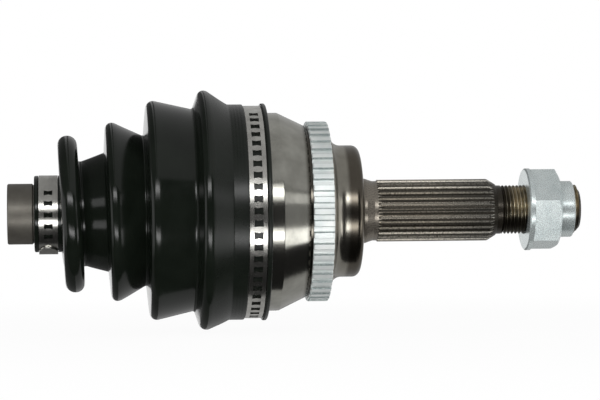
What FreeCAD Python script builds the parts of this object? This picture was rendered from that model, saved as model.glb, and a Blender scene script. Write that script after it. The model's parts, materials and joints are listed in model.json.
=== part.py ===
import FreeCAD, Part
import os
from math import acos, atan2, cos, degrees, hypot, pi, radians, sin, sqrt, tan

# Wheel-side half of a front drive shaft: a fixed ball joint with its stub axle, tooth ring, hub nut,
# rubber boot and clamps, and the bar that drives it.
# Millimetres. X runs along the axis towards the wheel, Z is up, and the origin is on the axis
# in the plane of the shoulder that the wheel hub seats against. Radii are measured from the axis.

V = FreeCAD.Vector
AXIS = V(1, 0, 0)

# Fits, each a gap between two surfaces measured square to them
running_fit = 0.07
window_fit = 0.04
spline_fit = 0.05
rubber_fit = 0.05
boot_tip_fit = 0.15
small_clamp_fit = 0.25
thread_fit = 0.11
ring_fit = 0.05

# Joint travel in degrees each way from straight
steer_limit = 42.0
bump_limit = 12.0

# Ball joint
ball_count = 6
ball_r = 8.33
ball_circle_r = 28.0
cage_rise = 4.9
cage_wall = 5.45
cage_rail = 3.67
window_play = 1.8
window_corner_r = 3.0
race_half_width = 12.2
race_track_sweep = 60.0
bell_track_sweep = 62.0
track_end_margin = 0.8

# Bell of the joint
bell_wall = 4.25
mouth_depth = 17.0
mouth_clearance = 2.0
mouth_edge = 0.9
land_step = 0.4
boot_groove_depth = 0.95
boot_groove_overrun = 0.6
boot_groove_setback = 0.4
boot_groove_ramp = 0.8
cone_start = 7.4
cone_rounding = 0.8
cavity_floor_gap = 0.8
floor_thickness = 14.45
boss_r = 27.05
boss_fillet_r = 4.7
boss_corner_r = 3.0

# Tooth ring pressed on the bell
tooth_ring_start = 19.5
tooth_ring_width = 8.3
tooth_ring_step = 7.25
tooth_ring_wall = 2.25
tooth_height = 1.3
tooth_ring_teeth = 48
tooth_ring_tip_share = 0.47
tooth_ring_gap_share = 0.36
tooth_ring_edge = 0.3
stop_lip = 0.9
stop_lip_length = 1.0
cone_lip = 1.9
cone_lip_rounding = 0.3
tooth_ring_relief = 0.4
bell_back_length = 1.0
tooth_ring_relief_depth = 0.6

# Stub axle, with its lengths from the shoulder outwards
neck_rise = 0.6
neck_drop = 0.45
neck_taper_start_x = 2.6
neck_taper_end_x = 5.7
neck_fillet_r = 1.6
spline_x = 7.4
spline_length = 49.2
spline_r = 12.7
spline_depth = 1.2
spline_teeth = 28
spline_tip_share = 0.30
spline_gap_share = 0.28
spline_runout = 2.2
spline_lead = 3.4
spline_lead_drop = 2.1
spline_lead_rounding = 1.5
spline_core_drop = 1.0
thread_r = 10.0
thread_depth = 0.92
thread_runout = 0.6
shank_length = 2.8
thread_length = 32.0
stub_end_edge = 1.2
centre_hole_r = 3.2
centre_drill_r = 1.3
centre_drill_depth = 6.5
centre_drill_point = 0.7
centre_hole_half_angle = 30.0

# Hub nut
nut_start = 9.5
nut_across_flats = 30.0
nut_flange_rise = 1.9
nut_flange_thickness = 2.6
nut_flange_slope = 0.5
nut_hex_height = 13.7
nut_height = 19.6
nut_hex_start_angle = 17.9
nut_collar_wall = 1.3
nut_collar_gap = 0.25
nut_entry = 1.0
nut_edge = 0.5
nut_crown_inset = 0.6
nut_crown_angle = 30.0
nut_collar_foot = 0.7

# Bar
bar_r = 12.4
bar_exposed = 10.9
bar_end_edge = 0.4
bar_seat_depth = 0.5
bar_seat_overrun = 0.3
bar_seat_ramp = 0.5
bar_taper_start = 11.2
bar_taper_length = 9.0
bar_taper_rounding = 6.0
bar_neck_drop = 0.3
bar_spline_r = 11.3
bar_spline_depth = 1.0
bar_spline_teeth = 26
bar_spline_share = 0.34
bar_spline_lead = 4.3
bar_tip_land = 0.95
bar_tip_edge = 0.8
clip_width = 1.5
clip_groove_depth = 1.3
clip_rise = 1.6
clip_gap_angle = 34.0
stop_ring_width = 1.8
stop_ring_rise = 2.1

# Boot. Its stations along the axis are distances from the edge of its seat on the bell, towards the bar.
# Folds 2, 3 and 4 come to a corner where their two flanks would meet, which is then rounded.
boot_seat_start = 6.8
boot_wall = 2.4
boot_tip_length = 1.8
boot_tip_rise = 0.95
small_seat_start = 83.4
small_seat_width = 7.9
small_seat_wall = 2.65
fold_1_start = 74.2
fold_1_end = 66.1
fold_1_r = 32.1
fold_1_rounding = 3.95
valley_1_r = 21.5
valley_1_at = 64.9
cone_fold_at = 55.9
cone_fold_r = 24.4
fold_2_at = 54.8
fold_2_r = 38.15
valley_2_at = 40.1
valley_2_r = 30.6
fold_3_at = 38.6
fold_3_rise = 4.9
valley_3_at = 20.3
valley_3_rise = 0.7
fold_4_at = 17.2
fold_4_rise = 9.75
valley_4_at = 6.1
large_seat_width = 7.4
large_seat_wall = 3.0
collar_rise = 1.5
boot_end_length = 1.9
boot_end_rise = 1.8
fold_rounding = 3.0
valley_rounding = 1.0
boot_edge_rounding = 0.8

# Clamps. Slots and laps are placed in degrees about the axis from the top, towards -Y
clamp_thickness = 0.8
large_clamp_width = 7.0
large_slot_pitch = 6.43
large_slot_count = 41
large_first_slot = 25.1
large_slot_length = 3.6
large_slot_height = 2.9
large_lap_start = 280.0
large_lap_angle = 70.0
small_clamp_width = 7.7
small_slot_pitch = 17.2
small_slot_count = 5
small_first_slot = 57.0
small_slot_length = 3.5
small_slot_height = 2.3
small_lap_start = 147.0
small_lap_angle = 120.0
slot_notch = 0.35

# Half of each tilt happens between the bell and the cage, and the other half between the cage and the race
half_steer = steer_limit / 2
half_bump = bump_limit / 2
roll_limit = degrees(acos(cos(radians(half_steer)) * cos(radians(half_bump))))
tilt_limit = 2 * roll_limit

# Radii that follow from the ones above
bell_r = ball_circle_r + ball_r + running_fit + bell_wall
cage_outer_r = ball_circle_r + cage_rise
cage_inner_r = cage_outer_r - cage_wall
cage_half_width = ball_r + cage_rail
bell_sphere_r = cage_outer_r + running_fit
race_sphere_r = cage_inner_r - running_fit
race_edge_r = sqrt(race_sphere_r ** 2 - race_half_width ** 2)
boot_groove_r = bell_r - boot_groove_depth
large_seat_r = boot_groove_r + rubber_fit + large_seat_wall
collar_r = large_seat_r + collar_rise
boot_end_r = large_seat_r + boot_end_rise
fold_3_r = bell_r + fold_3_rise
valley_3_r = bell_r + valley_3_rise
fold_4_r = bell_r + fold_4_rise
tooth_ring_bore_r = bell_r - tooth_ring_step
tooth_ring_root_r = tooth_ring_bore_r + tooth_ring_wall
tooth_ring_r = tooth_ring_root_r + tooth_height
cone_end_r = tooth_ring_bore_r + cone_lip
spline_root_r = spline_r - spline_depth
spline_lead_r = spline_r - spline_lead_drop
neck_r = spline_r + neck_rise
neck_end_r = spline_r - neck_drop
thread_core_r = thread_r - thread_depth
nut_flange_r = nut_across_flats / 2 + nut_flange_rise
nut_collar_bore_r = thread_r + nut_collar_gap
nut_collar_r = nut_collar_bore_r + nut_collar_wall
bar_seat_r = bar_r - bar_seat_depth
bar_neck_r = bar_spline_r - bar_neck_drop
bar_spline_root_r = bar_spline_r - bar_spline_depth
clip_r = bar_spline_r + clip_rise
stop_ring_r = bar_spline_r + stop_ring_rise
small_seat_r = bar_seat_r + boot_tip_fit + small_seat_wall
boot_tip_r = small_seat_r + boot_tip_rise

# Places along the axis that follow from the ones above
cavity_floor = (
    hypot(race_edge_r, race_half_width) * cos(atan2(race_edge_r, race_half_width) - radians(tilt_limit))
    + cavity_floor_gap
)
joint_x = -(cavity_floor + floor_thickness)
mouth_x = joint_x - mouth_depth
cone_start_x = joint_x + cone_start
tooth_ring_x = joint_x + tooth_ring_start
cone_end_x = tooth_ring_x - stop_lip_length
tooth_ring_end_x = tooth_ring_x + tooth_ring_width
bell_back_x = tooth_ring_end_x + bell_back_length
spline_end_x = spline_x + spline_length
thread_x = spline_end_x + shank_length
stub_end_x = thread_x + thread_length
nut_x = thread_x + nut_start
nut_hex_end_x = nut_x + nut_hex_height
nut_end_x = nut_x + nut_height
race_end_x = joint_x + race_half_width
race_start_x = joint_x - race_half_width
clip_x = race_end_x + ring_fit
stop_ring_x = race_start_x - ring_fit - stop_ring_width
large_seat_x = joint_x - boot_seat_start
large_seat_end_x = large_seat_x + large_seat_width
boot_end_x = large_seat_end_x + boot_end_length
groove_x = large_seat_x - boot_groove_overrun
groove_end_x = large_seat_end_x - boot_groove_setback
small_seat_x = large_seat_x - small_seat_start
small_seat_end_x = small_seat_x + small_seat_width
boot_tip_x = small_seat_x - boot_tip_length
bar_end_x = boot_tip_x - bar_exposed
bar_taper_x = small_seat_x + bar_taper_start
bar_spline_x = race_start_x - bar_spline_lead
bar_tip_x = clip_x + clip_width + bar_tip_land
centre = V(joint_x, 0, 0)

# How far a cutting or limiting shape runs past the face that it passes
beyond = 1.0


def point(x, r):
    return V(x, 0, r)


def outline(corners):
    """Closed wire through corners given as (x, r) or (x, r, rounding), with an arc at a rounded one."""
    edges = []
    starts = []
    ends = []
    arcs = []
    count = len(corners)
    for i in range(count):
        here = point(*corners[i][:2])
        rounding = corners[i][2] if len(corners[i]) > 2 else 0
        if not rounding:
            starts.append(here)
            ends.append(here)
            arcs.append(None)
            continue
        back = (point(*corners[i - 1][:2]) - here).normalize()
        ahead = (point(*corners[(i + 1) % count][:2]) - here).normalize()
        half_angle = back.getAngle(ahead) / 2
        reach = rounding / tan(half_angle)
        bisector = (back + ahead).normalize()
        middle = here + bisector * (rounding / sin(half_angle) - rounding)
        starts.append(here + back * reach)
        ends.append(here + ahead * reach)
        arcs.append(middle)
    for i in range(count):
        if arcs[i] is not None:
            edges.append(Part.Arc(starts[i], arcs[i], ends[i]).toShape())
        following = starts[(i + 1) % count]
        if ends[i].distanceToPoint(following) > 1e-6:
            edges.append(Part.LineSegment(ends[i], following).toShape())
    return Part.Wire(edges)


def turned(corners):
    """Solid of revolution about the axis from an outline of (x, r) corners."""
    return Part.Face(outline(corners)).revolve(V(0, 0, 0), AXIS, 360)


def tube(x, length, inner_r, outer_r):
    return turned([(x, inner_r), (x, outer_r), (x + length, outer_r), (x + length, inner_r)])


def toothed_bar(x, length, tip_r, root_r, teeth, tip_share, root_share, grow=0.0):
    """Straight-toothed prism along the axis.

    The shares are parts of the tooth pitch at the tip and at the root, and grow widens the prism all round.
    """
    pitch = 2 * pi / teeth
    tip_half = pitch * tip_share / 2 + grow / tip_r
    root_half = pitch * root_share / 2 - grow / root_r

    def at(r, angle):
        return V(x, r * cos(angle), r * sin(angle))

    edges = []
    tip = tip_r + grow
    root = root_r + grow
    for k in range(teeth):
        middle = k * pitch
        gap = middle + pitch / 2
        tip_start = at(tip, middle - tip_half)
        tip_end = at(tip, middle + tip_half)
        gap_start = at(root, gap - root_half)
        gap_end = at(root, gap + root_half)
        next_tip = at(tip, middle + pitch - tip_half)
        edges.append(Part.Arc(tip_start, at(tip, middle), tip_end).toShape())
        edges.append(Part.LineSegment(tip_end, gap_start).toShape())
        edges.append(Part.Arc(gap_start, at(root, gap), gap_end).toShape())
        edges.append(Part.LineSegment(gap_end, next_tip).toShape())
    return Part.Face(Part.Wire(edges)).extrude(V(length, 0, 0))


def around(shape, degrees_about_axis):
    """Copy of a shape turned about the main axis."""
    copy = shape.copy()
    copy.rotate(V(0, 0, 0), AXIS, degrees_about_axis)
    return copy


def azimuth(number):
    """Place of a ball round the axis in degrees from +Y, with the first one at the top."""
    return 90.0 + number * 360.0 / ball_count


def drift(angle):
    """Lowest and highest sideways shift of a ball from the plane of its track, over the joint's travel."""
    outward = V(0, cos(radians(angle)), sin(radians(angle)))
    sideways = AXIS.cross(outward)
    shifts = []
    for bump in (-half_bump, 0, half_bump):
        for steer in (-half_steer, 0, half_steer):
            lean = FreeCAD.Rotation(V(0, 1, 0), bump)
            swing = FreeCAD.Rotation(V(0, 0, 1), steer)
            ball = lean.multVec(swing.multVec(outward * ball_circle_r))
            shifts.append(ball.dot(sideways))
    return min(shifts), max(shifts)


def ball_track(number, start, end):
    """Groove swept round the joint centre from start to end degrees, for a ball and its sideways drift."""
    low, high = drift(azimuth(number))
    groove_r = ball_r + running_fit
    left = low - running_fit / 2 if high - low > running_fit else 0
    right = high + running_fit / 2 if high - low > running_fit else 0
    top = V(joint_x, 0, ball_circle_r)

    def at(side, up):
        return top + V(0, -side, up)

    edges = [Part.Arc(at(left, groove_r), at(left - groove_r, 0), at(left, -groove_r)).toShape()]
    if right > left:
        edges.append(Part.LineSegment(at(left, -groove_r), at(right, -groove_r)).toShape())
    edges.append(Part.Arc(at(right, -groove_r), at(right + groove_r, 0), at(right, groove_r)).toShape())
    if right > left:
        edges.append(Part.LineSegment(at(right, groove_r), at(left, groove_r)).toShape())
    section = Part.Face(Part.Wire(edges))
    section.rotate(centre, V(0, 1, 0), start)
    groove = section.revolve(centre, V(0, 1, 0), end - start)
    ends = [Part.makeSphere(groove_r, at(left, 0))]
    if right > left:
        ends.append(Part.makeSphere(groove_r, at(right, 0)))
        ends.append(Part.makeCylinder(groove_r, right - left, at(left, 0), V(0, -1, 0)))
    for piece in ends:
        piece.rotate(centre, V(0, 1, 0), end)
    groove = groove.fuse(ends)
    return around(groove, azimuth(number) - 90)


def bar_reach(depth):
    """Distance from the axis that the tilted bar's neck reaches, at a depth in front of the joint centre."""
    return depth * tan(radians(tilt_limit)) + bar_neck_r / cos(radians(tilt_limit))


def relief_depth():
    """Distance from the joint centre to the mouth cone, where the tilted bar would meet the ball seat."""
    slope = tan(radians(tilt_limit))
    start = bar_reach(0)
    across = 1 + slope ** 2
    return (sqrt(across * bell_sphere_r ** 2 - start ** 2) - slope * start) / across


def joint_cavity():
    """Inside of the bell: a ball seat that opens through a cone at the mouth and ends in a flat floor."""
    floor_r = sqrt(bell_sphere_r ** 2 - cavity_floor ** 2)
    relief = relief_depth()
    relief_r = sqrt(bell_sphere_r ** 2 - relief ** 2)
    mouth_relief_r = bar_reach(mouth_depth) + mouth_clearance
    slope = (mouth_relief_r - relief_r) / (mouth_depth - relief)
    corners = [
        point(joint_x + cavity_floor, 0),
        point(joint_x + cavity_floor, floor_r),
        point(joint_x - relief, relief_r),
        point(mouth_x - beyond, mouth_relief_r + beyond * slope),
        point(mouth_x - beyond, 0),
    ]
    edges = [
        Part.LineSegment(corners[0], corners[1]).toShape(),
        Part.Arc(corners[1], point(joint_x, bell_sphere_r), corners[2]).toShape(),
        Part.LineSegment(corners[2], corners[3]).toShape(),
        Part.LineSegment(corners[3], corners[4]).toShape(),
        Part.LineSegment(corners[4], corners[0]).toShape(),
    ]
    return Part.Face(Part.Wire(edges)).revolve(V(0, 0, 0), AXIS, 360)


def outer_joint_body():
    """Bell and stub axle, one forging."""
    forging = turned([
        (mouth_x, 0),
        (mouth_x, bell_r - land_step - mouth_edge),
        (mouth_x + mouth_edge, bell_r - land_step),
        (groove_x - boot_groove_ramp, bell_r - land_step),
        (groove_x, boot_groove_r),
        (groove_end_x, boot_groove_r),
        (groove_end_x + boot_groove_ramp, bell_r),
        (cone_start_x, bell_r, cone_rounding),
        (cone_end_x, cone_end_r, cone_lip_rounding),
        (cone_end_x, tooth_ring_bore_r + stop_lip),
        (tooth_ring_x, tooth_ring_bore_r + stop_lip),
        (tooth_ring_x, tooth_ring_bore_r),
        (tooth_ring_end_x - tooth_ring_relief, tooth_ring_bore_r),
        (tooth_ring_end_x, tooth_ring_bore_r - tooth_ring_relief_depth),
        (bell_back_x, tooth_ring_bore_r - tooth_ring_relief_depth - bell_back_length),
        (bell_back_x, boss_r, boss_fillet_r),
        (0, boss_r, boss_corner_r),
        (0, neck_r, neck_fillet_r),
        (neck_taper_start_x, neck_r),
        (neck_taper_end_x, neck_end_r),
        (spline_x, neck_end_r),
        (spline_x + spline_runout, spline_root_r),
        (spline_end_x, spline_root_r - spline_core_drop),
        (spline_end_x, thread_r),
        (thread_x - thread_runout, thread_r),
        (thread_x, thread_core_r),
        (stub_end_x - stub_end_edge, thread_core_r),
        (stub_end_x, thread_core_r - stub_end_edge),
        (stub_end_x, 0),
    ])
    teeth = toothed_bar(
        spline_x, spline_length, spline_r, spline_root_r,
        spline_teeth, spline_tip_share, spline_gap_share,
    )
    lead = turned([
        (spline_x, 0),
        (spline_x, neck_end_r),
        (spline_x + spline_r - neck_end_r, spline_r),
        (spline_end_x - spline_lead, spline_r, spline_lead_rounding),
        (spline_end_x, spline_lead_r),
        (spline_end_x, 0),
    ])
    body = forging.fuse(teeth.common(lead))
    body = body.cut(joint_cavity())
    for number in range(ball_count):
        body = body.cut(ball_track(number, -bell_track_sweep, roll_limit + track_end_margin))
    centre_hole = turned([
        (stub_end_x + beyond, 0),
        (stub_end_x + beyond, centre_hole_r + beyond * tan(radians(centre_hole_half_angle))),
        (stub_end_x - (centre_hole_r - centre_drill_r) / tan(radians(centre_hole_half_angle)), centre_drill_r),
        (stub_end_x - centre_drill_depth, centre_drill_r),
        (stub_end_x - centre_drill_depth - centre_drill_point, 0),
    ])
    return body.cut(centre_hole)


def abs_ring():
    """Toothed ring that the wheel-speed sensor reads."""
    teeth = toothed_bar(
        tooth_ring_x, tooth_ring_width, tooth_ring_r, tooth_ring_root_r,
        tooth_ring_teeth, tooth_ring_tip_share, tooth_ring_gap_share,
    )
    right_x = tooth_ring_x + tooth_ring_width
    blank = turned([
        (tooth_ring_x, tooth_ring_bore_r),
        (tooth_ring_x, tooth_ring_r - tooth_ring_edge),
        (tooth_ring_x + tooth_ring_edge, tooth_ring_r),
        (right_x - tooth_ring_edge, tooth_ring_r),
        (right_x, tooth_ring_r - tooth_ring_edge),
        (right_x, tooth_ring_bore_r),
    ])
    return teeth.common(blank)


def hub_nut():
    """Flanged hexagon nut with a thin collar that is staked once the hub is on."""
    corner_r = nut_across_flats / 2 / cos(pi / 6)
    hex_x = nut_x + nut_flange_thickness - nut_flange_slope
    corners = []
    for k in range(6):
        angle = radians(nut_hex_start_angle + 60 * k)
        corners.append(V(hex_x, -corner_r * sin(angle), corner_r * cos(angle)))
    corners.append(corners[0])
    hexagon = Part.Face(Part.makePolygon(corners)).extrude(V(nut_hex_end_x - hex_x, 0, 0))
    crown_r = nut_across_flats / 2 - nut_crown_inset
    rise = corner_r - crown_r + beyond
    crown = turned([
        (hex_x, 0),
        (hex_x, corner_r + beyond),
        (nut_hex_end_x - rise * tan(radians(nut_crown_angle)), corner_r + beyond),
        (nut_hex_end_x, crown_r),
        (nut_hex_end_x, 0),
    ])
    flange = turned([
        (nut_x, 0),
        (nut_x, nut_flange_r - nut_edge),
        (nut_x + nut_edge, nut_flange_r),
        (hex_x, nut_flange_r),
        (nut_x + nut_flange_thickness, crown_r),
        (nut_x + nut_flange_thickness, 0),
    ])
    collar = turned([
        (nut_hex_end_x - nut_edge, 0),
        (nut_hex_end_x - nut_edge, nut_collar_r + nut_collar_foot),
        (nut_hex_end_x, nut_collar_r + nut_collar_foot, nut_edge),
        (nut_hex_end_x, nut_collar_r, nut_edge),
        (nut_end_x, nut_collar_r, nut_edge),
        (nut_end_x, 0),
    ])
    bore_r = thread_core_r + thread_fit
    bore = turned([
        (nut_x - beyond, 0),
        (nut_x - beyond, bore_r + nut_entry + beyond),
        (nut_x + nut_entry, bore_r),
        (nut_hex_end_x, bore_r),
        (nut_hex_end_x + nut_entry, nut_collar_bore_r),
        (nut_end_x + beyond, nut_collar_bore_r),
        (nut_end_x + beyond, 0),
    ])
    return hexagon.common(crown).fuse([flange, collar]).cut(bore)


def cage():
    """Ball cage: a ring between two spheres with a window for each ball."""
    left_x = joint_x - cage_half_width
    right_x = joint_x + cage_half_width
    outer_edge_r = sqrt(cage_outer_r ** 2 - cage_half_width ** 2)
    inner_edge_r = sqrt(cage_inner_r ** 2 - cage_half_width ** 2)
    left_in = point(left_x, inner_edge_r)
    left_out = point(left_x, outer_edge_r)
    right_out = point(right_x, outer_edge_r)
    right_in = point(right_x, inner_edge_r)
    edges = [
        Part.LineSegment(left_in, left_out).toShape(),
        Part.Arc(left_out, point(joint_x, cage_outer_r), right_out).toShape(),
        Part.LineSegment(right_out, right_in).toShape(),
        Part.Arc(right_in, point(joint_x, cage_inner_r), left_in).toShape(),
    ]
    ring = Part.Face(Part.Wire(edges)).revolve(V(0, 0, 0), AXIS, 360)
    ring.rotate(V(0, 0, 0), AXIS, 60)
    long_side = 2 * (ball_r + window_play)
    short_side = 2 * (ball_r + window_fit)
    window = Part.makeBox(
        short_side, long_side, cage_outer_r, V(joint_x - short_side / 2, -long_side / 2, ball_r)
    )
    upright = [edge for edge in window.Edges if abs(edge.tangentAt(edge.FirstParameter).z) > 0.9]
    window = window.makeFillet(window_corner_r, upright)
    for number in range(ball_count):
        ring = ring.cut(around(window, azimuth(number) - 90))
    return ring


def ball(number):
    place = around(Part.Vertex(V(joint_x, 0, ball_circle_r)), azimuth(number) - 90).Point
    return Part.makeSphere(ball_r, place)


def inner_race():
    """Inner race: a ball-shaped hub with a groove for each ball and a splined bore for the bar."""
    left_edge = point(race_start_x, race_edge_r)
    right_edge = point(race_end_x, race_edge_r)
    edges = [
        Part.LineSegment(point(race_start_x, 0), left_edge).toShape(),
        Part.Arc(left_edge, point(joint_x, race_sphere_r), right_edge).toShape(),
        Part.LineSegment(right_edge, point(race_end_x, 0)).toShape(),
        Part.LineSegment(point(race_end_x, 0), point(race_start_x, 0)).toShape(),
    ]
    hub = Part.Face(Part.Wire(edges)).revolve(V(0, 0, 0), AXIS, 360)
    hub.rotate(V(0, 0, 0), AXIS, 60)
    for number in range(ball_count):
        hub = hub.cut(ball_track(number, -race_track_sweep, race_track_sweep))
    bore = toothed_bar(
        race_start_x - beyond, 2 * (race_half_width + beyond), bar_spline_r, bar_spline_root_r,
        bar_spline_teeth, bar_spline_share, bar_spline_share, spline_fit,
    )
    return hub.cut(bore)


def drive_bar():
    """Bar from the cut end to the splined tip that the inner race slides onto."""
    seat_start_x = boot_tip_x - bar_seat_overrun
    tooth_start_x = bar_spline_x - beyond
    groove_r = bar_spline_r - clip_groove_depth
    blank = [
        (bar_end_x, 0),
        (bar_end_x, bar_r - bar_end_edge),
        (bar_end_x + bar_end_edge, bar_r),
        (seat_start_x - bar_seat_ramp, bar_r),
        (seat_start_x, bar_seat_r),
        (small_seat_end_x, bar_seat_r),
        (small_seat_end_x + bar_seat_ramp, bar_r),
        (bar_taper_x, bar_r, bar_taper_rounding),
        (bar_taper_x + bar_taper_length, bar_neck_r, bar_taper_rounding),
        (bar_spline_x, bar_neck_r),
        (bar_spline_x, bar_spline_root_r),
        (bar_tip_x, bar_spline_root_r),
        (bar_tip_x, 0),
    ]
    teeth = toothed_bar(
        tooth_start_x, bar_tip_x - tooth_start_x, bar_spline_r, bar_spline_root_r,
        bar_spline_teeth, bar_spline_share, bar_spline_share,
    )
    lead = turned([
        (tooth_start_x, 0),
        (tooth_start_x, bar_neck_r),
        (tooth_start_x + bar_spline_r - bar_neck_r, bar_spline_r),
        (bar_tip_x - bar_tip_edge, bar_spline_r),
        (bar_tip_x, bar_spline_r - bar_tip_edge),
        (bar_tip_x, 0),
    ])
    bar = turned(blank).fuse(teeth.common(lead))
    for x, width in ((clip_x, clip_width), (stop_ring_x, stop_ring_width)):
        bar = bar.cut(tube(x - ring_fit, width + 2 * ring_fit, groove_r, bar_spline_r + beyond))
    return bar


def open_ring(x, width, outer_r):
    """Spring ring that sits in a groove of the bar, open over a gap at the bottom."""
    inner_r = bar_spline_r - clip_groove_depth + ring_fit
    ring = tube(x, width, inner_r, outer_r)
    half_gap = radians(clip_gap_angle / 2)
    wedge_x = x - beyond
    side = 2 * outer_r * sin(half_gap)
    bottom = -2 * outer_r * cos(half_gap)
    corners = [V(wedge_x, 0, 0), V(wedge_x, -side, bottom), V(wedge_x, side, bottom), V(wedge_x, 0, 0)]
    wedge = Part.Face(Part.makePolygon(corners)).extrude(V(width + 2 * beyond, 0, 0))
    return ring.cut(wedge)


def miter(corners, distance):
    """Corners of a path moved sideways by distance, to the right of its direction."""
    moved = []
    count = len(corners)
    for i in range(count):
        here = V(corners[i][0], corners[i][1], 0)
        before = V(corners[max(i - 1, 0)][0], corners[max(i - 1, 0)][1], 0)
        after = V(corners[min(i + 1, count - 1)][0], corners[min(i + 1, count - 1)][1], 0)
        come = (here - before).normalize() if i else (after - here).normalize()
        go = (after - here).normalize() if i < count - 1 else come
        side = V(come.y, -come.x, 0) + V(go.y, -go.x, 0)
        side = side.normalize()
        shift = distance / side.dot(V(come.y, -come.x, 0))
        moved.append((here.x + side.x * shift, here.y + side.y * shift))
    return moved


def boot():
    """Rubber bellows with four folds between the bar and the bell."""
    folds = [
        (fold_1_start, boot_tip_r, boot_edge_rounding / 2),
        (fold_1_start, fold_1_r, fold_1_rounding),
        (fold_1_end, fold_1_r, fold_1_rounding),
        (fold_1_end, valley_1_r, valley_rounding / 2),
        (valley_1_at, valley_1_r, valley_rounding / 2),
        (cone_fold_at, cone_fold_r, valley_rounding / 2),
        (fold_2_at, fold_2_r, fold_rounding),
        (valley_2_at, valley_2_r, valley_rounding / 2),
        (fold_3_at, fold_3_r, fold_rounding),
        (valley_3_at, valley_3_r, valley_rounding),
        (fold_4_at, fold_4_r, fold_rounding),
        (valley_4_at, collar_r, valley_rounding),
    ]
    bellows = [(large_seat_x - station, r, rounding) for station, r, rounding in folds]
    bar_hole = bar_r + boot_tip_fit
    seat_hole = bar_seat_r + boot_tip_fit
    groove_hole = boot_groove_r + rubber_fit
    land_hole = bell_r - land_step + rubber_fit
    end_hole = bell_r + rubber_fit
    outside = [
        (boot_tip_x, seat_hole),
        (boot_tip_x, boot_tip_r, boot_edge_rounding),
        (small_seat_x, boot_tip_r, boot_edge_rounding / 2),
        (small_seat_x, small_seat_r),
        (small_seat_end_x, small_seat_r),
        (small_seat_end_x, boot_tip_r),
    ]
    outside += bellows
    outside += [
        (large_seat_x, collar_r),
        (large_seat_x, large_seat_r),
        (large_seat_end_x, large_seat_r),
        (large_seat_end_x, boot_end_r, boot_edge_rounding),
        (boot_end_x, boot_end_r, boot_edge_rounding),
        (boot_end_x, end_hole),
        (groove_end_x + boot_groove_ramp, end_hole),
        (groove_end_x, groove_hole),
        (groove_x, groove_hole),
        (groove_x - boot_groove_ramp, land_hole),
        (large_seat_x - valley_4_at, land_hole),
    ]
    outside += reversed(miter(bellows, boot_wall)[1:-1])
    outside += [
        (large_seat_x - fold_1_start + boot_wall, bar_hole),
        (small_seat_end_x + bar_seat_ramp, bar_hole),
        (small_seat_end_x, seat_hole),
    ]
    return turned(outside)


def slot_cutter(length, height, radius):
    """Prism that cuts one slot of a clamp band, with a small notch in the middle of its long sides."""
    half_l = length / 2
    half_h = height / 2
    path = [
        V(-half_l, -half_h, 0),
        V(0, -half_h + slot_notch, 0),
        V(half_l, -half_h, 0),
        V(half_l, half_h, 0),
        V(0, half_h - slot_notch, 0),
        V(-half_l, half_h, 0),
        V(-half_l, -half_h, 0),
    ]
    cutter = Part.Face(Part.makePolygon(path)).extrude(V(0, 0, 6 * clamp_thickness))
    cutter.translate(V(0, 0, radius - 2 * clamp_thickness))
    return cutter


def clamp(x, width, inner_r, slot_angles, slot_length, slot_height, lap_start, lap_angle):
    """Band clamp: one slotted strip closed in a ring, whose rounded tail laps over its start.

    Angles are in degrees about the axis from the top, towards -Y.
    """
    lap_r = inner_r + clamp_thickness
    cutter = slot_cutter(slot_length, slot_height, inner_r)
    cutter.translate(V(x + width / 2, 0, 0))
    band = tube(x, width, inner_r, lap_r).cut([around(cutter, angle) for angle in slot_angles])
    lap_r_outer = lap_r + clamp_thickness
    corners = [(x, lap_r), (x, lap_r_outer), (x + width, lap_r_outer), (x + width, lap_r)]
    section = Part.Face(outline(corners))
    tip_angle = degrees(width / 2 / lap_r)
    whole = section.revolve(V(0, 0, 0), AXIS, lap_angle)
    straight = section.revolve(V(0, 0, 0), AXIS, lap_angle - tip_angle)
    tip = Part.makeCylinder(width / 2, 2 * lap_r, V(x + width / 2, 0, 0), V(0, 0, 1))
    tongue = whole.common(around(tip, tip_angle)).fuse(around(straight, tip_angle))
    return band.fuse(around(tongue, lap_start))


def large_clamp():
    angles = [large_first_slot + k * large_slot_pitch for k in range(large_slot_count)]
    x = large_seat_x + (large_seat_width - large_clamp_width) / 2
    return clamp(
        x, large_clamp_width, large_seat_r + rubber_fit, angles,
        large_slot_length, large_slot_height, large_lap_start, large_lap_angle,
    )


def small_clamp():
    angles = [small_first_slot + k * small_slot_pitch for k in range(small_slot_count)]
    x = small_seat_x + (small_seat_width - small_clamp_width) / 2
    return clamp(
        x, small_clamp_width, small_seat_r + small_clamp_fit, angles,
        small_slot_length, small_slot_height, small_lap_start, small_lap_angle,
    )


parts = {
    "outer_joint_body": outer_joint_body(),
    "abs_ring": abs_ring(),
    "hub_nut": hub_nut(),
    "cage": cage(),
    "inner_race": inner_race(),
    "drive_bar": drive_bar(),
    "bar_circlip": open_ring(clip_x, clip_width, clip_r),
    "stop_ring": open_ring(stop_ring_x, stop_ring_width, stop_ring_r),
    "boot": boot(),
    "large_clamp": large_clamp(),
    "small_clamp": small_clamp(),
}
ball_names = [
    "upper_ball", "front_upper_ball", "front_lower_ball",
    "lower_ball", "rear_lower_ball", "rear_upper_ball",
]
for number, name in enumerate(ball_names):
    parts[name] = ball(number)

os.makedirs("parts", exist_ok=True)
for name, shape in parts.items():
    solids = shape.Solids
    state = "valid" if shape.isValid() else "INVALID"
    print(name, len(solids), "solid", round(shape.Volume, 2), "mm3", state)
    body = solids[0] if len(solids) == 1 else Part.makeCompound(solids)
    body.exportStep("parts/" + name + ".step")
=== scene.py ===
import json
from math import cos, pi, radians, sin, tan

import bmesh
import bpy
from mathutils import Matrix, Vector


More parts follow.
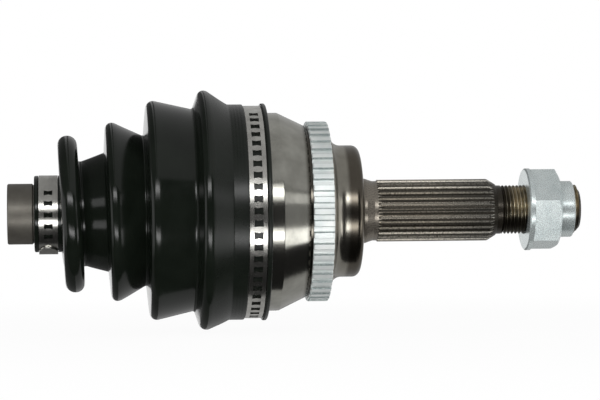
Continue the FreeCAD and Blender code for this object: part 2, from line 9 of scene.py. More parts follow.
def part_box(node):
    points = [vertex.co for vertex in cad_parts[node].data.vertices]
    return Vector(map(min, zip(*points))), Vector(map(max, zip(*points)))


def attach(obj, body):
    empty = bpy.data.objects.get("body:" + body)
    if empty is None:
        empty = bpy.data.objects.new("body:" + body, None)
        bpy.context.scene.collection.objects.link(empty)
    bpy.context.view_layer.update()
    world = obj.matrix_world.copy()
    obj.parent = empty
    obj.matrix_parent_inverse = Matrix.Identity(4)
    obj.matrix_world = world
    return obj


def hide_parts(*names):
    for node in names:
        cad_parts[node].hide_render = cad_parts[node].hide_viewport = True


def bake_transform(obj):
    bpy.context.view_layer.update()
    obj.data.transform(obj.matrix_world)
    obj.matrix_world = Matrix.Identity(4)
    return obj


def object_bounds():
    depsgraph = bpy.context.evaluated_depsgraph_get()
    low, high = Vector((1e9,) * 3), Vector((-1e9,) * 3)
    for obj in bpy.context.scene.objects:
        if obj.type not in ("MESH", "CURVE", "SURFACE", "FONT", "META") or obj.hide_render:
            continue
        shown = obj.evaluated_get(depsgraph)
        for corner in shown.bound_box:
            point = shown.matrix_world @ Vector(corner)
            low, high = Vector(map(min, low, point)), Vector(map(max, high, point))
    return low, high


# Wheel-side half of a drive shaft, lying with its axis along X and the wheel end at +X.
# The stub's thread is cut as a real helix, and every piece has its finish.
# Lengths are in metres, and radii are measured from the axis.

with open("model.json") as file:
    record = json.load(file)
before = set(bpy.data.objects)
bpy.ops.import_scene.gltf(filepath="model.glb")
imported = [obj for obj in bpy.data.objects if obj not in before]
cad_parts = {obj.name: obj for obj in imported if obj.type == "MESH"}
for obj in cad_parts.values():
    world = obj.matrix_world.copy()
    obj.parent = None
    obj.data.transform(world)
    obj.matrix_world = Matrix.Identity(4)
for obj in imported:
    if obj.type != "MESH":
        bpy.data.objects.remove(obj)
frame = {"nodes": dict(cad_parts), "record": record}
cad_low, cad_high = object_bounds()

MM = 0.001
AXIS = Vector((1, 0, 0))
same_point = 1e-6

# Places taken from the frame
small_clamp_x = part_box("small_clamp")[0].x
small_clamp_end_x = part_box("small_clamp")[1].x
large_clamp_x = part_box("large_clamp")[0].x
large_clamp_end_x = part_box("large_clamp")[1].x
boot_x, boot_end_x = (corner.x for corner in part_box("boot"))
ring_x, ring_end_x = (corner.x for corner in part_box("abs_ring"))
stub_end_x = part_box("outer_joint_body")[1].x

# Boot
seat_side_gap = 0.2 * MM
tip_r = 15.65 * MM
small_seat_r = 14.7 * MM
bar_hole_r = 12.5 * MM
large_seat_r = 42.75 * MM
collar_r = 44.2 * MM
end_r = 44.55 * MM
bell_hole_r = 40.75 * MM
boot_wall = 1.2 * MM
boot_steps = 180
arc_segments = 8
longest_step = 1.0 * MM
smooth_edge_limit = 35.0

# Roundings of the boot's corners
edge_rounding = 0.7 * MM
valley_rounding = 1.0 * MM
fold_rounding = 3.0 * MM
first_fold_rounding = 3.95 * MM

# Corners of the boot's folds, the first fold being the one next to the bar. Each is given as its
# distance from the large clamp's seat and its radius, both in millimetres.
collar_corner = (6.1, 44.2)
bell_seam = (8.0, 45.261)
fourth_crest = (17.2, 50.4)
fourth_valley = (20.3, 41.35)
third_crest = (38.6, 45.55)
third_valley = (40.1, 30.6)
second_crest = (54.8, 38.15)
second_valley = (55.9, 24.4)
bar_seam = (59.0, 23.401)
neck_end = (64.9, 21.5)
first_valley = (66.1, 21.5)
first_crest = (66.1, 32.1)
first_crest_back = (74.2, 32.1)
first_fold_foot = (74.2, 15.65)

# How the boot sags: place along X in millimetres, lift in millimetres, and lean in degrees.
# Near the small clamp the lean fades out with the radius, so that the cuff stays round the bar.
boot_sag = [
    (-124, -0.2, 2.8),
    (-113, -0.1, 2.8),
    (-99, 0.6, 1.6),
    (-84, 1.0, 0.6),
    (-65, 1.0, 0.05),
    (-54, 0.0, 0.0),
]
cuff_side = -100
cuff_fade = 6 * MM

# Lengths beside the boot's seams, and in the first fold, from which each stretch's start and end along X
# are found and passed to it
bell_seam_hold = 0.3 * MM
bar_seam_hold = 1.2 * MM
first_fold_hold = 1.6 * MM

# Teeth
spline_teeth = 28
spline_x = 7.4 * MM
spline_groove_r = 11.5 * MM
spline_flank_r = 12.0 * MM
ring_teeth = 48
tooth_edge = 0.25
# Width of the painted highlight lines on the spline's teeth, then of the painted shade lines on the ring's
# teeth
tooth_highlight_width = 0.16
tooth_shade_line_width = 0.075

# Stub thread
thread_length = 32.0 * MM
thread_pitch = 1.5 * MM
thread_r = 10.0 * MM
thread_root_r = 9.0 * MM
thread_crest = 0.19 * MM
thread_steps = 72
thread_edge_limit = 20.0
thread_cut_tolerance = 1e-7
stub_edge = 1.2 * MM

# Colours, as two shades where a finish is mottled. On the spline, near is by the shank, far is by
# the thread, and the side is where the teeth face up or down.
bell_shades = (0.46, 0.455, 0.41), (0.33, 0.325, 0.29)
boss_shades = (0.35, 0.335, 0.29), (0.26, 0.245, 0.21)
# Painted shade on the bell's cone next to the tooth ring, where the gap between them lies in shade
ring_side_shade = (0.06, 0.052, 0.040)
# Painted reflection: dark colour on the boss towards the hub, standing in for the dark surroundings it
# faces
boss_dark_reflection = (0.075, 0.063, 0.048)
# Painted highlights along the spline's tooth edges: by the shank, by the thread, and where the teeth face
# up or down
edge_glint_near, edge_glint_far, edge_glint_side = (1.0, 0.92, 0.78), (0.56, 0.54, 0.48), (0.20, 0.19, 0.16)
tip_near, tip_far = (0.060, 0.053, 0.042), (0.034, 0.031, 0.026)
# Darker colour in the spline's grooves
groove_dark = (0.034, 0.029, 0.022)
shank_steel = (0.24, 0.215, 0.18)
ring_shades = (0.90, 0.93, 0.91), (0.76, 0.81, 0.80)
# Painted shade lines between the ring's teeth
ring_shade_line = (0.20, 0.25, 0.25)
zinc_shades = (0.69, 0.75, 0.745), (0.57, 0.635, 0.635)
strip_shades = (0.66, 0.65, 0.61), (0.50, 0.49, 0.46)
hardened_shades = (0.32, 0.32, 0.32), (0.22, 0.22, 0.22)
ball_shades = (0.72, 0.72, 0.73), (0.64, 0.64, 0.65)
spring_shades = (0.14, 0.14, 0.15), (0.09, 0.09, 0.095)
bar_shades = (0.150, 0.141, 0.122), (0.112, 0.104, 0.089)
thread_shades = (0.66, 0.58, 0.43), (0.34, 0.31, 0.24)
# Painted shade on the thread's lower side; the same colour also darkens the thread by the spline
thread_dark = (0.075, 0.068, 0.055)
rubber_shades = (0.0046, 0.0064, 0.0045), (0.0078, 0.0104, 0.0076)

# Camera, matched to the photograph
camera_distance = 1.066
camera_x = -0.120
camera_z = 4.5 * MM
camera_lens = 156.0
camera_yaw = radians(3.6)
camera_roll = radians(-0.54)
camera_shift_x = 0.1173
camera_shift_y = 0.002
camera_reach = 20

# Floor: its brightness, and where the object's shadow starts and ends fading into plain paper
floor_size = 6
floor_gap = 0.1 * MM
floor_grey = 0.9
floor_plain_share = 0.955
shadow_fade_start = 0.12
shadow_fade_end = 0.45

# Cloths and sheets that only reflections show: width, depth, middle and brightness
front_cloth = (5, 2.26, (0, -1.35, -0.12), 0.032)
flat_cloths = {
    "low_cloth": (5, 1.6, (0, -0.55, -1.25), 0.020),
    "upper_cloth": (8, 10, (0, 3.65, 0.96), 0.10),
    "rear_low_cloth": (8, 8.4, (0, 4.45, -1.26), 0.12),
    "end_upper_sheet": (0.19, 6.5, (-0.225, 1.9, 0.95), 0.48),
    "side_upper_sheet": (3.61, 6.5, (1.795, 1.9, 0.95), 0.48),
    "side_lower_sheet": (3.62, 5.0, (1.79, 2.75, -1.25), 0.44),
}

# Light strips: lowest and highest angle above the line of sight, ends along X, radiance, and distance
light_strips = {
    "upper_strip": (13.0, 31.0, -0.8, 0.26, 1.7, 0.9),
    "upper_core": (18.0, 26.0, -0.6, 0.24, 5.0, 0.88),
    "lower_strip": (-35.0, -18.0, -0.8, 0.26, 1.7, 0.9),
    "lower_core": (-31.0, -23.0, -0.6, 0.24, 5.0, 0.88),
    "upper_side_strip": (13.0, 31.0, 0.9, 2.2, 0.9, 0.9),
    "lower_side_strip": (-53.0, -27.0, 0.9, 2.2, 2.3, 0.9),
    "side_fill": (-27.0, 13.0, 0.9, 2.2, 0.25, 0.9),
}
room_light = 0.45
room_white = 1.0


def line_through(mesh, corners):
    """Vertices at (x, radius) corners in the XZ plane, joined by edges."""
    points = [mesh.verts.new((corner[0], 0, corner[1])) for corner in corners]
    for start, end in zip(points, points[1:]):
        mesh.edges.new((start, end))
    return points


def rounded_line(mesh, corners):
    """Line through (x, radius, rounding) corners, each rounded to that radius of arc, in short steps."""
    points = line_through(mesh, corners)
    reaches = []
    for i, (_, _, rounding) in enumerate(corners):
        if rounding:
            back = points[i - 1].co - points[i].co
            ahead = points[i + 1].co - points[i].co
            reaches.append((points[i], rounding / tan(back.angle(ahead) / 2)))
    for point, reach in reaches:
        bmesh.ops.bevel(
            mesh, geom=[point], offset=reach, offset_type="OFFSET", segments=arc_segments,
            profile=0.5, affect="VERTICES", material=-1,
        )
    for edge in [edge for edge in mesh.edges if edge.calc_length() > 2 * longest_step]:
        cuts = int(edge.calc_length() / longest_step)
        bmesh.ops.subdivide_edges(mesh, edges=[edge], cuts=cuts)


def spun(mesh, steps):
    """Turns every edge of the mesh once round the axis, with its faces outward."""
    bmesh.ops.spin(
        mesh, geom=mesh.verts[:] + mesh.edges[:], cent=(0, 0, 0), axis=AXIS,
        angle=2 * pi, steps=steps, use_merge=True,
    )
    bmesh.ops.remove_doubles(mesh, verts=mesh.verts, dist=same_point)
    bmesh.ops.recalc_face_normals(mesh, faces=mesh.faces)
    widest = max(mesh.faces, key=lambda face: face.calc_center_median().yz.length)
    if widest.normal.yz.dot(widest.calc_center_median().yz) < 0:
        bmesh.ops.reverse_faces(mesh, faces=mesh.faces)


def placed(name, mesh, material):
    """Object at the origin from a finished bmesh."""
    data = bpy.data.meshes.new(name)
    mesh.to_mesh(data)
    mesh.free()
    data.materials.append(material)
    made = bpy.data.objects.new(name, data)
    bpy.context.scene.collection.objects.link(made)
    return made


def piece(name, mesh, material, edge_limit=smooth_edge_limit):
    """Piece of the shaft, smooth except at edges sharper than the given angle."""
    for face in mesh.faces:
        face.smooth = True
    for edge in mesh.edges:
        edge.smooth = edge.calc_face_angle(pi) < radians(edge_limit)
    made = placed(name, mesh, material)
    return made


def fill(tree, sockets, values):
    """Gives each named socket its value, or links it to another socket."""
    for key, value in values.items():
        if isinstance(value, bpy.types.NodeSocket):
            tree.links.new(value, sockets[key])
        else:
            sockets[key].default_value = value


def add(tree, kind, settings=None, inputs=None):
    """Shader node with its properties set and its inputs filled."""
    made = tree.nodes.new("ShaderNode" + kind)
    for key, value in (settings or {}).items():
        setattr(made, key, value)
    fill(tree, made.inputs, inputs or {})
    return made


def maths(tree, operation, *values):
    """One sum on one or two values or sockets."""
    return add(tree, "Math", {"operation": operation}, dict(enumerate(values))).outputs[0]


def spread(tree, value, low, high, to_low=0.0, to_high=1.0, smooth=False):
    """Value mapped from low..high to to_low..to_high, held at the ends."""
    kind = "SMOOTHSTEP" if smooth else "LINEAR"
    inputs = {"Value": value, "From Min": low, "From Max": high, "To Min": to_low, "To Max": to_high}
    return add(tree, "MapRange", {"interpolation_type": kind}, inputs).outputs["Result"]


def blended(tree, factor, first, second):
    """Colour mixed from first to second, each given as a colour or as a socket."""
    made = add(tree, "Mix", {"data_type": "RGBA"}, {"Factor": factor})
    for index, value in ((6, first), (7, second)):
        linked = isinstance(value, bpy.types.NodeSocket)
        fill(tree, made.inputs, {index: value if linked else (*value, 1.0)})
    return made.outputs[2]


def new_group(name, inputs, outputs):
    """Empty shader group with named inputs and outputs."""
    tree = bpy.data.node_groups.new(name, "ShaderNodeTree")
    for label, kind in inputs:
        tree.interface.new_socket(label, in_out="INPUT", socket_type="NodeSocket" + kind)
    for label, kind in outputs:
        tree.interface.new_socket(label, in_out="OUTPUT", socket_type="NodeSocket" + kind)
    return tree, tree.nodes.new("NodeGroupInput").outputs, tree.nodes.new("NodeGroupOutput").inputs


def use_group(tree, group, inputs):
    """Places a shader group, fills its inputs and returns its outputs."""
    made = tree.nodes.new("ShaderNodeGroup")
    made.node_tree = group
    fill(tree, made.inputs, inputs)
    return made.outputs


def place_group():
    """Where a point lies: its place along the axis, its radius, and its angle about the axis in turns."""
    outputs = [("Along", "Float"), ("Radius", "Float"), ("Turn", "Float")]
    tree, given, result = new_group("place_on_shaft", [("Point", "Vector")], outputs)
    parts = add(tree, "SeparateXYZ", inputs={0: given["Point"]}).outputs
    side_square = maths(tree, "MULTIPLY", parts[1], parts[1])
    height_square = maths(tree, "MULTIPLY", parts[2], parts[2])
    square = maths(tree, "ADD", side_square, height_square)
    angle = maths(tree, "ARCTAN2", parts[1], parts[2])
    tree.links.new(parts[0], result["Along"])
    tree.links.new(maths(tree, "SQRT", square), result["Radius"])
    tree.links.new(maths(tree, "DIVIDE", angle, 2 * pi), result["Turn"])
    return tree


def turned_lines_group():
    """Fine lines left by a lathe tool: noise that changes along the axis and hardly around it."""
    tree, given, result = new_group(
        "turned_lines", [("Point", "Vector"), ("Pitch", "Float")], [("Height", "Float")]
    )
    changes_per_turn = 2.0
    place = use_group(tree, place_on_shaft, {"Point": given["Point"]})
    along = maths(tree, "DIVIDE", place["Along"], given["Pitch"])
    radius = maths(tree, "DIVIDE", place["Radius"], given["Pitch"])
    around = maths(tree, "MULTIPLY", place["Turn"], changes_per_turn)
    spot = add(tree, "CombineXYZ", inputs={0: along, 1: radius, 2: around}).outputs[0]
    inputs = {"Vector": spot, "Scale": 1.0, "Detail": 3.0, "Roughness": 0.6}
    tree.links.new(add(tree, "TexNoise", inputs=inputs).outputs[0], result["Height"])
    return tree


def mottle_group():
    """Soft patches and fine specks, both from 0 to 1, for stains, oil film and a grainy surface."""
    tree, given, result = new_group(
        "mottle", [("Point", "Vector"), ("Patch Size", "Float"), ("Speck Size", "Float")],
        [("Patches", "Float"), ("Specks", "Float")],
    )
    noise_low, noise_high = 0.32, 0.68
    for label, size, detail in (("Patches", "Patch Size", 4.0), ("Specks", "Speck Size", 2.0)):
        scale = maths(tree, "DIVIDE", 1.0, given[size])
        inputs = {"Vector": given["Point"], "Scale": scale, "Detail": detail, "Roughness": 0.55}
        noise = add(tree, "TexNoise", inputs=inputs)
        tree.links.new(spread(tree, noise.outputs[0], noise_low, noise_high), result[label])
    return tree


def tooth_group():
    """Mask along both edges of each of the teeth round the shaft, the first of them at the top: painted
    highlights on the spline, painted shade lines on the ring.
    """
    inputs = [("Turn", "Float"), ("Teeth", "Float"), ("Edge", "Float"), ("Width", "Float")]
    tree, given, result = new_group("tooth_place", inputs, [("Edges", "Float")])
    half_pitch = 0.5
    pitches = maths(tree, "ADD", maths(tree, "MULTIPLY", given["Turn"], given["Teeth"]), half_pitch)
    off_centre = maths(tree, "ABSOLUTE", maths(tree, "SUBTRACT", maths(tree, "FRACT", pitches), half_pitch))
    off_edge = maths(tree, "ABSOLUTE", maths(tree, "SUBTRACT", off_centre, given["Edge"]))
    share = maths(tree, "DIVIDE", off_edge, given["Width"])
    tree.links.new(spread(tree, share, 0.0, 1.0, 1.0, 0.0, smooth=True), result["Edges"])
    return tree


place_on_shaft = place_group()
turned_lines = turned_lines_group()
mottle = mottle_group()
tooth_place = tooth_group()


def new_material(name):
    """Material with a Principled shader, and the object's own coordinates to place its patterns by."""
    made = bpy.data.materials.new(name)
    made.use_nodes = True
    tree = made.node_tree
    shader = tree.nodes["Principled BSDF"]
    point = add(tree, "TexCoord").outputs["Object"]
    return made, tree, shader, point


def clouds(tree, point, patch, speck):
    """Patches and specks of the given sizes."""
    return use_group(tree, mottle, {"Point": point, "Patch Size": patch, "Speck Size": speck})


def tool_lines(tree, point, pitch):
    """Height of lathe lines of the given pitch."""
    return use_group(tree, turned_lines, {"Point": point, "Pitch": pitch})["Height"]


def tooth_edges(tree, place, teeth, width):
    """Mask along the edges of the given number of teeth, for the spline's painted highlights and the ring's
    painted shade lines.
    """
    inputs = {"Turn": place["Turn"], "Teeth": teeth, "Edge": tooth_edge, "Width": width}
    return use_group(tree, tooth_place, inputs)["Edges"]


def dress(tree, shader, colour, roughness, height, depth):
    """Links a colour, a roughness and a bump of the given depth to the shader."""
    tree.links.new(colour, shader.inputs["Base Color"])
    tree.links.new(roughness, shader.inputs["Roughness"])
    bump = add(tree, "Bump", inputs={"Height": height, "Distance": depth, "Strength": 1.0})
    tree.links.new(bump.outputs[0], shader.inputs["Normal"])


def bell_and_boss(tree, along, cloud):
    """Pale ground bell with painted shade by the ring, and a brown boss painted darker towards the hub as a
    painted reflection of dark surroundings.
    """
    past_ring = spread(tree, along, ring_end_x - 1 * MM, ring_end_x)
    # Painted shade on the cone just beside the ring's side
    shade_by_ring = spread(tree, along, ring_x - 3.2 * MM, ring_x - 1.2 * MM, smooth=True)
    # Painted reflection: the boss darkens towards the hub, for the dark surroundings on that side
    dark_reflection = spread(tree, along, -7.2 * MM, -5.2 * MM, smooth=True)
    bell = blended(tree, cloud["Patches"], *bell_shades)
    bell = blended(tree, maths(tree, "MULTIPLY", shade_by_ring, 0.9), bell, ring_side_shade)
    boss = blended(tree, cloud["Patches"], *boss_shades)
    boss = blended(tree, maths(tree, "MULTIPLY", dark_reflection, 0.85), boss, boss_dark_reflection)
    return past_ring, blended(tree, past_ring, bell, boss)


def shank_and_spline(tree, point, place, cloud):
    """Brown shank, then dark teeth, darker in their grooves, with painted highlights as light lines along
    the edges of the teeth.
    """
    height = add(tree, "SeparateXYZ", inputs={0: point}).outputs[2]
    # Painted highlight: the light edge lines fade to a darker colour where the teeth face up or down
    off_middle = spread(tree, maths(tree, "ABSOLUTE", height), 3 * MM, 11 * MM, 0.0, 0.62, smooth=True)
    far = spread(tree, place["Along"], 26 * MM, 54 * MM, smooth=True)
    wear_and_glint = blended(tree, off_middle, blended(tree, far, edge_glint_near, edge_glint_far), edge_glint_side)
    broken = spread(tree, cloud["Specks"], 0.0, 0.8, 0.35, 1.0)
    edges = tooth_edges(tree, place, spline_teeth, tooth_highlight_width)
    tip = blended(tree, far, tip_near, tip_far)
    tip = blended(tree, maths(tree, "MULTIPLY", edges, broken), tip, wear_and_glint)
    # Darker below the flanks, in the grooves between the teeth
    above_groove = spread(tree, place["Radius"], spline_groove_r, spline_flank_r)
    on_teeth = spread(tree, place["Along"], spline_x - 0.3 * MM, spline_x)
    return blended(tree, on_teeth, shank_steel, blended(tree, above_groove, groove_dark, tip))


def forged_steel():
    """Oiled, turned forging: pale ground band and cone on the bell with painted shade by the ring, brown
    polished boss with a painted dark reflection towards the hub, dark spline with painted highlights along
    its tooth edges.
    """
    made, tree, shader, point = new_material("forged_steel")
    place = use_group(tree, place_on_shaft, {"Point": point})
    cloud = clouds(tree, point, patch=9 * MM, speck=0.5 * MM)
    past_boss = spread(tree, place["Along"], 0.0, 0.5 * MM)
    past_ring, body = bell_and_boss(tree, place["Along"], cloud)
    colour = blended(tree, past_boss, body, shank_and_spline(tree, point, place, cloud))
    rough = spread(tree, cloud["Patches"], 0.0, 1.0, 0.10, 0.17)
    rough = maths(tree, "ADD", rough, maths(tree, "MULTIPLY", past_ring, 0.08))
    rough_stub = spread(tree, cloud["Specks"], 0.0, 1.0, 0.22, 0.36)
    roughness = add(tree, "Mix", {"data_type": "FLOAT"}, {0: past_boss, 2: rough, 3: rough_stub}).outputs[0]
    lines = tool_lines(tree, point, 0.25 * MM)
    height = maths(tree, "ADD", lines, maths(tree, "MULTIPLY", cloud["Specks"], 0.3))
    dress(tree, shader, colour, roughness, height, 0.006 * MM)
    tree.links.new(spread(tree, past_boss, 0.0, 1.0, 1.0, 0.7), shader.inputs["Metallic"])
    return made


def ring_steel():
    """Bright plated tooth ring, with painted shade as dark lines along the flanks of its teeth."""
    made, tree, shader, point = new_material("ring_steel")
    shader.inputs["Metallic"].default_value = 0.55
    place = use_group(tree, place_on_shaft, {"Point": point})
    cloud = clouds(tree, point, patch=6 * MM, speck=0.4 * MM)
    edges = tooth_edges(tree, place, ring_teeth, tooth_shade_line_width)
    # Painted shade: dark lines along the tooth flanks, broken up by specks
    shade_lines = maths(tree, "MULTIPLY", edges, spread(tree, cloud["Specks"], 0.0, 0.6, 0.35, 0.95))
    colour = blended(tree, shade_lines, blended(tree, cloud["Patches"], *ring_shades), ring_shade_line)
    roughness = spread(tree, cloud["Specks"], 0.0, 1.0, 0.42, 0.54)
    dress(tree, shader, colour, roughness, cloud["Specks"], 0.006 * MM)
    return made


def zinc_plate():
    """Zinc plate: bluish white, a little cloudy and finely speckled."""
    made, tree, shader, point = new_material("zinc_plate")
    shader.inputs["Metallic"].default_value = 0.65
    cloud = clouds(tree, point, patch=6 * MM, speck=0.35 * MM)
    colour = blended(tree, cloud["Patches"], *zinc_shades)
    roughness = spread(tree, cloud["Specks"], 0.0, 1.0, 0.22, 0.34)
    dress(tree, shader, colour, roughness, cloud["Specks"], 0.003 * MM)
    return made


def clamp_steel():
    """Bright stainless strip, drawn along its length, so its fine lines run round the clamp."""
    made, tree, shader, point = new_material("clamp_steel")
    shader.inputs["Metallic"].default_value = 1.0
    cloud = clouds(tree, point, patch=5 * MM, speck=0.4 * MM)
    colour = blended(tree, cloud["Patches"], *strip_shades)
    roughness = spread(tree, cloud["Patches"], 0.0, 1.0, 0.17, 0.26)
    dress(tree, shader, colour, roughness, tool_lines(tree, point, 0.12 * MM), 0.004 * MM)
    return made


def plain_steel(name, shades, smoothest, roughest, line_pitch=0.2 * MM, metallic=1.0):
    """Steel of one colour with faint turned lines and cloudy patches."""
    made, tree, shader, point = new_material(name)
    shader.inputs["Metallic"].default_value = metallic
    cloud = clouds(tree, point, patch=7 * MM, speck=0.4 * MM)
    colour = blended(tree, cloud["Patches"], *shades)
    roughness = spread(tree, cloud["Specks"], 0.0, 1.0, smoothest, roughest)
    lines = tool_lines(tree, point, line_pitch)
    height = maths(tree, "ADD", lines, maths(tree, "MULTIPLY", cloud["Specks"], 0.4))
    dress(tree, shader, colour, roughness, height, 0.006 * MM)
    return made


def thread_steel():
    """Brass-coloured thread showing wear, with painted shade on its lower side, and darker by the spline.
    """
    made, tree, shader, point = new_material("thread_steel")
    shader.inputs["Metallic"].default_value = 1.0
    parts = add(tree, "SeparateXYZ", inputs={0: point}).outputs
    cloud = clouds(tree, point, patch=3 * MM, speck=0.3 * MM)
    start_x = stub_end_x - thread_length
    # Painted shade: the thread's lower side is darker, as no light comes from below
    painted_shade_below = spread(tree, parts[2], -4.5 * MM, 0.5 * MM, 0.9, 0.0, smooth=True)
    by_spline = spread(tree, parts[0], start_x + 1 * MM, start_x + 5 * MM, 0.8, 0.0, smooth=True)
    wear_and_glint = blended(tree, cloud["Patches"], *thread_shades)
    colour = blended(tree, maths(tree, "MAXIMUM", painted_shade_below, by_spline), wear_and_glint, thread_dark)
    roughness = spread(tree, cloud["Specks"], 0.0, 1.0, 0.26, 0.40)
    dress(tree, shader, colour, roughness, cloud["Specks"], 0.004 * MM)
    return made


def boot_rubber():
    """Near-black moulded rubber with a soft sheen, and faint mould rings by the large clamp."""
    made, tree, shader, point = new_material("boot_rubber")
    shader.inputs["Specular IOR Level"].default_value = 0.33
    ring_pitch = 1.3 * MM
    along = use_group(tree, place_on_shaft, {"Point": point})["Along"]
    cloud = clouds(tree, point, patch=14 * MM, speck=0.5 * MM)
    colour = blended(tree, cloud["Patches"], *rubber_shades)
    near_clamp = spread(tree, along, large_clamp_x - 8 * MM, large_clamp_x - 4 * MM, smooth=True)
    past_folds = spread(tree, along, large_clamp_x - 16 * MM, large_clamp_x - 13 * MM, smooth=True)
    smoothest = spread(tree, past_folds, 0.0, 1.0, 0.115, 0.25)
    roughness = maths(tree, "ADD", smoothest, maths(tree, "MULTIPLY", cloud["Patches"], 0.05))
    wave = maths(tree, "SINE", maths(tree, "MULTIPLY", along, 2 * pi / ring_pitch))
    rings = maths(tree, "MULTIPLY", maths(tree, "MULTIPLY", wave, near_clamp), 0.6)
    height = maths(tree, "ADD", rings, maths(tree, "MULTIPLY", cloud["Specks"], 0.15))
    dress(tree, shader, colour, roughness, height, 0.010 * MM)
    return made


finishes = {
    "forged_steel": forged_steel(),
    "ring_steel": ring_steel(),
    "zinc_plate": zinc_plate(),
    "clamp_steel": clamp_steel(),
    "hardened_steel": plain_steel("hardened_steel", hardened_shades, 0.22, 0.34),
    "ball_steel": plain_steel("ball_steel", ball_shades, 0.08, 0.14),
    "spring_steel": plain_steel("spring_steel", spring_shades, 0.30, 0.42),
    "bar_steel": plain_steel("bar_steel", bar_shades, 0.38, 0.50, line_pitch=0.6 * MM, metallic=0.65),
    "thread_steel": thread_steel(),
    "boot_rubber": boot_rubber(),
}


def finish_nodes():
    """Gives each construction node the finish of its material slot, and the tooth ring its own."""
    for row in frame["record"]["subparts"]:
        node = frame["nodes"][row["node"]]
        finish = finishes["ring_steel" if row["node"] == "abs_ring" else row["material_slot"]]
        if not node.material_slots:
            node.data.materials.append(finish)
        for held in node.material_slots:
            held.material = finish


def settle(point):
    """Where a point of the straight boot goes on the real one, whose outer folds lean and sag a little."""
    x = point.x / MM
    lift, lean = boot_sag[0][1:]
    for (x_a, lift_a, lean_a), (x_b, lift_b, lean_b) in zip(boot_sag, boot_sag[1:]):
        share = min(max((x - x_a) / (x_b - x_a), 0), 1)
        share = share * share * (3 - 2 * share)
        lift += share * (lift_b - lift_a)
        lean += share * (lean_b - lean_a)
    radius = Vector((point.y, point.z)).length
    hold = min(max((radius - tip_r) / cuff_fade, 0), 1) if x < cuff_side else 1
    return Vector((point.x - hold * radians(lean) * point.z, point.y, point.z + hold * lift * MM))


def boot_piece(name, corners, body_a, body_b, start_x, end_x):
    """One stretch of the boot: a spun outline with a wall, leaned."""
    mesh = bmesh.new()
    rounded_line(mesh, corners)
    spun(mesh, boot_steps)
    bmesh.ops.solidify(mesh, geom=mesh.faces[:], thickness=boot_wall)
    for vertex in mesh.verts:
        vertex.co = settle(vertex.co)
    made = piece(name, mesh, finishes["boot_rubber"])
    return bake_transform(made)


def boot():
    """Rubber boot in three stretches, one for each hinge that it crosses."""
    seat_x = large_clamp_x - seat_side_gap
    seat_end_x = large_clamp_end_x + seat_side_gap
    small_seat_x = small_clamp_x - seat_side_gap / 2
    small_seat_end_x = small_clamp_end_x + seat_side_gap / 2

    def at(corner, rounding=0):
        station, r = corner
        return (seat_x - station * MM, r * MM, rounding)

    bell_seam_x = at(bell_seam)[0]
    bar_seam_x = at(bar_seam)[0]
    bell_end = [
        (boot_end_x, bell_hole_r, 0),
        (boot_end_x, end_r, edge_rounding),
        (seat_end_x, end_r, edge_rounding),
        (seat_end_x, large_seat_r, 0),
        (seat_x, large_seat_r, 0),
        (seat_x, collar_r, edge_rounding / 2),
        at(collar_corner, valley_rounding),
        at(bell_seam),
    ]
    folds = [
        at(bell_seam),
        at(fourth_crest, fold_rounding),
        at(fourth_valley, valley_rounding),
        at(third_crest, fold_rounding),
        at(third_valley, valley_rounding / 2),
        at(second_crest, fold_rounding),
        at(second_valley, valley_rounding / 2),
        at(bar_seam),
    ]
    bar_end = [
        at(bar_seam),
        at(neck_end, valley_rounding / 2),
        at(first_valley, valley_rounding / 2),
        at(first_crest, first_fold_rounding),
        at(first_crest_back, first_fold_rounding),
        at(first_fold_foot),
        (small_seat_end_x, tip_r, 0),
        (small_seat_end_x, small_seat_r, 0),
        (small_seat_x, small_seat_r, 0),
        (small_seat_x, tip_r, edge_rounding / 2),
        (boot_x, tip_r, edge_rounding),
        (boot_x, bar_hole_r, 0),
    ]
    bell_bend = (seat_x, bell_seam_x + bell_seam_hold)
    fold_bend = (bell_seam_x - bell_seam_hold, bar_seam_x + bar_seam_hold)
    bar_bend = (at(first_fold_foot)[0] + first_fold_hold, bar_seam_x - bar_seam_hold)
    bell_piece = boot_piece("boot_bell_end", bell_end, "outer_joint", "bump_link", *bell_bend)
    boot_piece("boot_folds", folds, "bump_link", "steer_link", *fold_bend)
    boot_piece("boot_bar_end", bar_end, "bar", "steer_link", *bar_bend)
    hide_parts("boot")


def stub_thread():
    """Right-hand thread of the stub, cut as one helix on the construction's plain core."""
    start_x = stub_end_x - thread_length
    turns = int(thread_length / thread_pitch) + 2
    first_x = start_x - thread_pitch
    half = thread_pitch / 2
    section = [
        (0, thread_root_r),
        (half - thread_crest, thread_r),
        (half, thread_r),
        (thread_pitch, thread_root_r),
    ]
    mesh = bmesh.new()
    line_through(mesh, [(first_x + x, r) for x, r in section])
    bmesh.ops.spin(
        mesh, geom=mesh.verts[:] + mesh.edges[:], cent=(0, 0, 0), axis=AXIS,
        dvec=(thread_pitch / thread_steps, 0, 0), angle=2 * pi * turns, steps=thread_steps * turns,
    )
    bmesh.ops.remove_doubles(mesh, verts=mesh.verts, dist=same_point)
    for x, way in ((start_x, -1), (stub_end_x - stub_edge, 1)):
        cut = bmesh.ops.bisect_plane(
            mesh, geom=mesh.verts[:] + mesh.edges[:] + mesh.faces[:], plane_co=(x, 0, 0),
            plane_no=(way, 0, 0), clear_outer=True, dist=thread_cut_tolerance,
        )
        rim = [item for item in cut["geom_cut"] if isinstance(item, bmesh.types.BMEdge)]
        bmesh.ops.contextual_create(mesh, geom=rim)
    bmesh.ops.recalc_face_normals(mesh, faces=mesh.faces)
    thread = piece("stub_thread", mesh, finishes["thread_steel"], thread_edge_limit)
    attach(thread, "outer_joint")


def studio_material(name):
    """Material of the studio with no shader yet, and the socket that takes one."""
    made = bpy.data.materials.new(name)
    made.use_nodes = True
    tree = made.node_tree
    tree.nodes.remove(tree.nodes["Principled BSDF"])
    return made, tree, tree.nodes["Material Output"].inputs["Surface"]


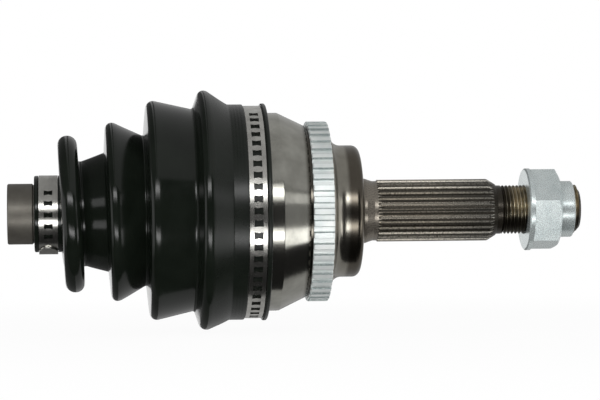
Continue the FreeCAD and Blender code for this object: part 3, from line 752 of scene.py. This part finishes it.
def floor_paper():
    """White that shows as plain paper to the camera, and keeps the object's shadow close to it."""
    made, tree, surface = studio_material("floor_paper")
    point = add(tree, "TexCoord").outputs["Object"]
    away = add(tree, "VectorMath", {"operation": "LENGTH"}, {0: point}).outputs["Value"]
    plain = spread(tree, away, shadow_fade_start, shadow_fade_end, floor_plain_share, 1.0, smooth=True)
    lit = add(tree, "BsdfDiffuse", inputs={"Color": (floor_grey, floor_grey, floor_grey, 1)})
    glow = add(tree, "Emission", inputs={"Strength": 1.0})
    mixed = add(tree, "MixShader", inputs={0: plain, 1: lit.outputs[0], 2: glow.outputs[0]})
    tree.links.new(mixed.outputs[0], surface)
    return made


def cloth(name, brightness):
    """Cloth as bright as it is given, whatever light falls on it."""
    made, tree, surface = studio_material(name)
    tree.links.new(add(tree, "Emission", inputs={"Strength": brightness}).outputs[0], surface)
    return made


def flat_card(name, width, depth, matrix, material):
    """Rectangle of paper or cloth that is part of the studio."""
    mesh = bmesh.new()
    bmesh.ops.create_grid(mesh, x_segments=1, y_segments=1, size=0.5)
    bmesh.ops.scale(mesh, vec=(width, depth, 1), verts=mesh.verts)
    bmesh.ops.transform(mesh, matrix=matrix, verts=mesh.verts)
    made = placed(name, mesh, material)
    return made


def hang(name, width, depth, middle, brightness, turn=Matrix.Identity(4)):
    """Cloth hung round the object, which shows only in reflections."""
    place = Matrix.Translation(middle) @ turn
    card = flat_card(name, width, depth, place, cloth(name, brightness))
    card.visible_camera = False
    card.visible_diffuse = False
    card.visible_shadow = False
    card.visible_transmission = False


def strip_light(name, low_angle, high_angle, start_x, end_x, radiance, distance):
    """Soft strip in front of the object and along it, between two angles above the line of sight."""
    middle = radians((low_angle + high_angle) / 2)
    height = 2 * distance * sin(radians((high_angle - low_angle) / 2))
    length = end_x - start_x
    light = bpy.data.lights.new(name, "AREA")
    light.shape = "RECTANGLE"
    light.size = length
    light.size_y = height
    light.energy = radiance * pi * length * height
    made = bpy.data.objects.new(name, light)
    made.location = ((start_x + end_x) / 2, -distance * cos(middle), distance * sin(middle))
    made.rotation_euler = (pi / 2 - middle, 0, 0)
    bpy.context.scene.collection.objects.link(made)


def white_room():
    """World that is white to the camera and in reflections, and lights the object more softly."""
    world = bpy.data.worlds.new("white_room")
    bpy.context.scene.world = world
    world.use_nodes = True
    tree = world.node_tree
    path = add(tree, "LightPath").outputs
    shown = maths(tree, "MAXIMUM", path["Is Camera Ray"], path["Is Glossy Ray"])
    shown = maths(tree, "MAXIMUM", shown, path["Is Transmission Ray"])
    strength = spread(tree, shown, 0.0, 1.0, room_light, room_white)
    fill(tree, tree.nodes["Background"].inputs, {"Strength": strength, "Color": (1, 1, 1, 1)})


def studio():
    """Pale floor, white room, light strips in front, and cloths that the steel and rubber reflect."""
    floor_place = Matrix.Translation((0, 0, cad_low.z - floor_gap))
    floor = flat_card("floor", floor_size, floor_size, floor_place, floor_paper())
    floor.visible_glossy = False
    floor.visible_shadow = False
    floor.visible_diffuse = False
    hang("front_cloth", *front_cloth, turn=Matrix.Rotation(pi / 2, 4, "X"))
    for name, card in flat_cloths.items():
        hang(name, *card)
    for name, strip in light_strips.items():
        strip_light(name, *strip)
    white_room()


def camera():
    """Long lens in front of the boot's bar end, turned towards the nut."""
    lens = bpy.data.cameras.new("camera")
    lens.lens = camera_lens
    lens.shift_x = camera_shift_x
    lens.shift_y = camera_shift_y
    lens.clip_end = camera_reach
    made = bpy.data.objects.new("camera", lens)
    turn = Matrix.Rotation(-camera_yaw, 4, "Z") @ Matrix.Rotation(pi / 2, 4, "X")
    place = Matrix.Translation((camera_x, -camera_distance, camera_z))
    made.matrix_world = place @ turn @ Matrix.Rotation(camera_roll, 4, "Z")
    bpy.context.scene.collection.objects.link(made)
    bpy.context.scene.camera = made


finish_nodes()
boot()
stub_thread()
studio()
camera()
bpy.context.scene.view_settings.view_transform = "Standard"
